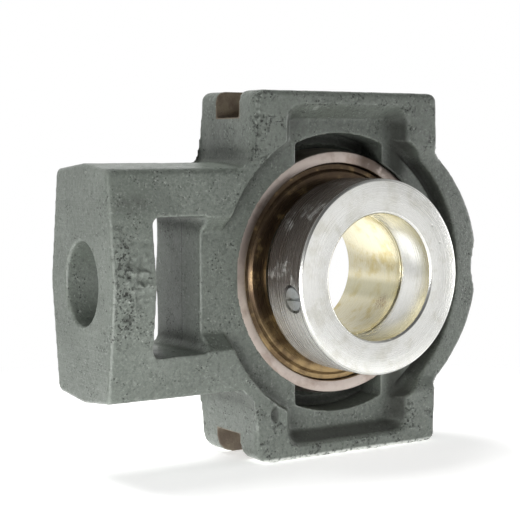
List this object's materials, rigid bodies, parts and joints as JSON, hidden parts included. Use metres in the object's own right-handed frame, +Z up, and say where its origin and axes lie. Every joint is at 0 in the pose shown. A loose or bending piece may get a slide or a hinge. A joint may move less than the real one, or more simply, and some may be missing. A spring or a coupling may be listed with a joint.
{
  "type": "take-up bearing unit",
  "caption": "Take-up bearing unit: cast housing with guide grooves and an adjusting lug, and a self-aligning ball insert with an eccentric locking collar.",
  "frame": {"origin": "middle of the lower guide groove's floor, straight under the middle of the shaft bore", "axes": "+Z up across the two guide grooves, -Y along the shaft towards the locking collar, -X towards the adjusting lug"},
  "size_m": [0.1352, 0.0484, 0.104],
  "materials": {
    "enamelled_iron": "grey-green enamel over a sand-cast surface",
    "ring_steel": "ground",
    "collar_steel": "fine turned",
    "ball_steel": "polished",
    "plated_steel": "zinc plated",
    "seal_washer": "chromated",
    "seal_rubber": "moulded",
    "cage_nylon": "glass-filled nylon",
    "screw_steel": "zinc plated"
  },
  "bodies": {
    "housing": {"housing": "enamelled_iron", "grease_nipple": "plated_steel", "nipple_spring": "plated_steel"},
    "insert": {"outer_ring": "ring_steel", "front_seal_outer_washer": "seal_washer", "front_seal_lip": "seal_rubber", "front_seal_inner_washer": "seal_washer", "back_seal_outer_washer": "seal_washer", "back_seal_lip": "seal_rubber", "back_seal_inner_washer": "seal_washer"},
    "inner_ring": {"inner_ring": "ring_steel"},
    "ball_cage": {"ball_cage": "cage_nylon"},
    "eccentric_collar": {"eccentric_collar": "collar_steel"},
    "collar_set_screw": {"collar_set_screw": "screw_steel"},
    "nipple_check_ball": {"nipple_check_ball": "ball_steel"},
    "ball_1": {"ball_1": "ball_steel"},
    "ball_2": {"ball_2": "ball_steel"},
    "ball_3": {"ball_3": "ball_steel"},
    "ball_4": {"ball_4": "ball_steel"},
    "ball_5": {"ball_5": "ball_steel"},
    "ball_6": {"ball_6": "ball_steel"},
    "ball_7": {"ball_7": "ball_steel"},
    "ball_8": {"ball_8": "ball_steel"},
    "ball_9": {"ball_9": "ball_steel"}
  },
  "joints": [
    {"name": "insert_align", "type": "hinge", "parent": "housing", "child": "insert", "pos_m": [0, 0, 0.0445], "axis": [0, 0, 1], "range_deg": [-3, 3]},
    {"name": "shaft_spin", "type": "hinge", "parent": "insert", "child": "inner_ring", "pos_m": [0, 0, 0.0445], "axis": [0, 1, 0], "continuous": true},
    {"name": "cage_orbit", "type": "hinge", "parent": "insert", "child": "ball_cage", "pos_m": [0, 0, 0.0445], "axis": [0, 1, 0], "continuous": true},
    {"name": "collar_turn", "type": "hinge", "parent": "inner_ring", "child": "eccentric_collar", "pos_m": [0, 0, 0.0445], "axis": [0, 1, 0], "range_deg": [-18, 18]},
    {"name": "set_screw_travel", "type": "slide", "parent": "eccentric_collar", "child": "collar_set_screw", "axis": [-0.9826, 0, -0.1857], "range_m": [-0.0008, 0.003]},
    {"name": "check_ball_lift", "type": "slide", "parent": "housing", "child": "nipple_check_ball", "axis": [-1, 0, 0], "range_m": [0, 0.0006], "stiffness_N_per_m": 100, "springref_m": -0.0003},
    {"name": "ball_1_roll", "type": "hinge", "parent": "ball_cage", "child": "ball_1", "pos_m": [0, 0, 0.07125], "axis": [0, 1, 0], "continuous": true},
    {"name": "ball_2_roll", "type": "hinge", "parent": "ball_cage", "child": "ball_2", "pos_m": [-0.01719, 0, 0.06499], "axis": [0, 1, 0], "continuous": true},
    {"name": "ball_3_roll", "type": "hinge", "parent": "ball_cage", "child": "ball_3", "pos_m": [-0.02634, 0, 0.04915], "axis": [0, 1, 0], "continuous": true},
    {"name": "ball_4_roll", "type": "hinge", "parent": "ball_cage", "child": "ball_4", "pos_m": [-0.02317, 0, 0.03112], "axis": [0, 1, 0], "continuous": true},
    {"name": "ball_5_roll", "type": "hinge", "parent": "ball_cage", "child": "ball_5", "pos_m": [-0.00915, 0, 0.01936], "axis": [0, 1, 0], "continuous": true},
    {"name": "ball_6_roll", "type": "hinge", "parent": "ball_cage", "child": "ball_6", "pos_m": [0.00915, 0, 0.01936], "axis": [0, 1, 0], "continuous": true},
    {"name": "ball_7_roll", "type": "hinge", "parent": "ball_cage", "child": "ball_7", "pos_m": [0.02317, 0, 0.03112], "axis": [0, 1, 0], "continuous": true},
    {"name": "ball_8_roll", "type": "hinge", "parent": "ball_cage", "child": "ball_8", "pos_m": [0.02634, 0, 0.04915], "axis": [0, 1, 0], "continuous": true},
    {"name": "ball_9_roll", "type": "hinge", "parent": "ball_cage", "child": "ball_9", "pos_m": [0.01719, 0, 0.06499], "axis": [0, 1, 0], "continuous": true}
  ],
  "couplings": [
    {"joint": "cage_orbit", "follows": "shaft_spin", "ratio": 0.39615},
    {"joint": "ball_1_roll", "follows": "shaft_spin", "ratio": -2.3035},
    {"joint": "ball_2_roll", "follows": "shaft_spin", "ratio": -2.3035},
    {"joint": "ball_3_roll", "follows": "shaft_spin", "ratio": -2.3035},
    {"joint": "ball_4_roll", "follows": "shaft_spin", "ratio": -2.3035},
    {"joint": "ball_5_roll", "follows": "shaft_spin", "ratio": -2.3035},
    {"joint": "ball_6_roll", "follows": "shaft_spin", "ratio": -2.3035},
    {"joint": "ball_7_roll", "follows": "shaft_spin", "ratio": -2.3035},
    {"joint": "ball_8_roll", "follows": "shaft_spin", "ratio": -2.3035},
    {"joint": "ball_9_roll", "follows": "shaft_spin", "ratio": -2.3035}
  ]
}
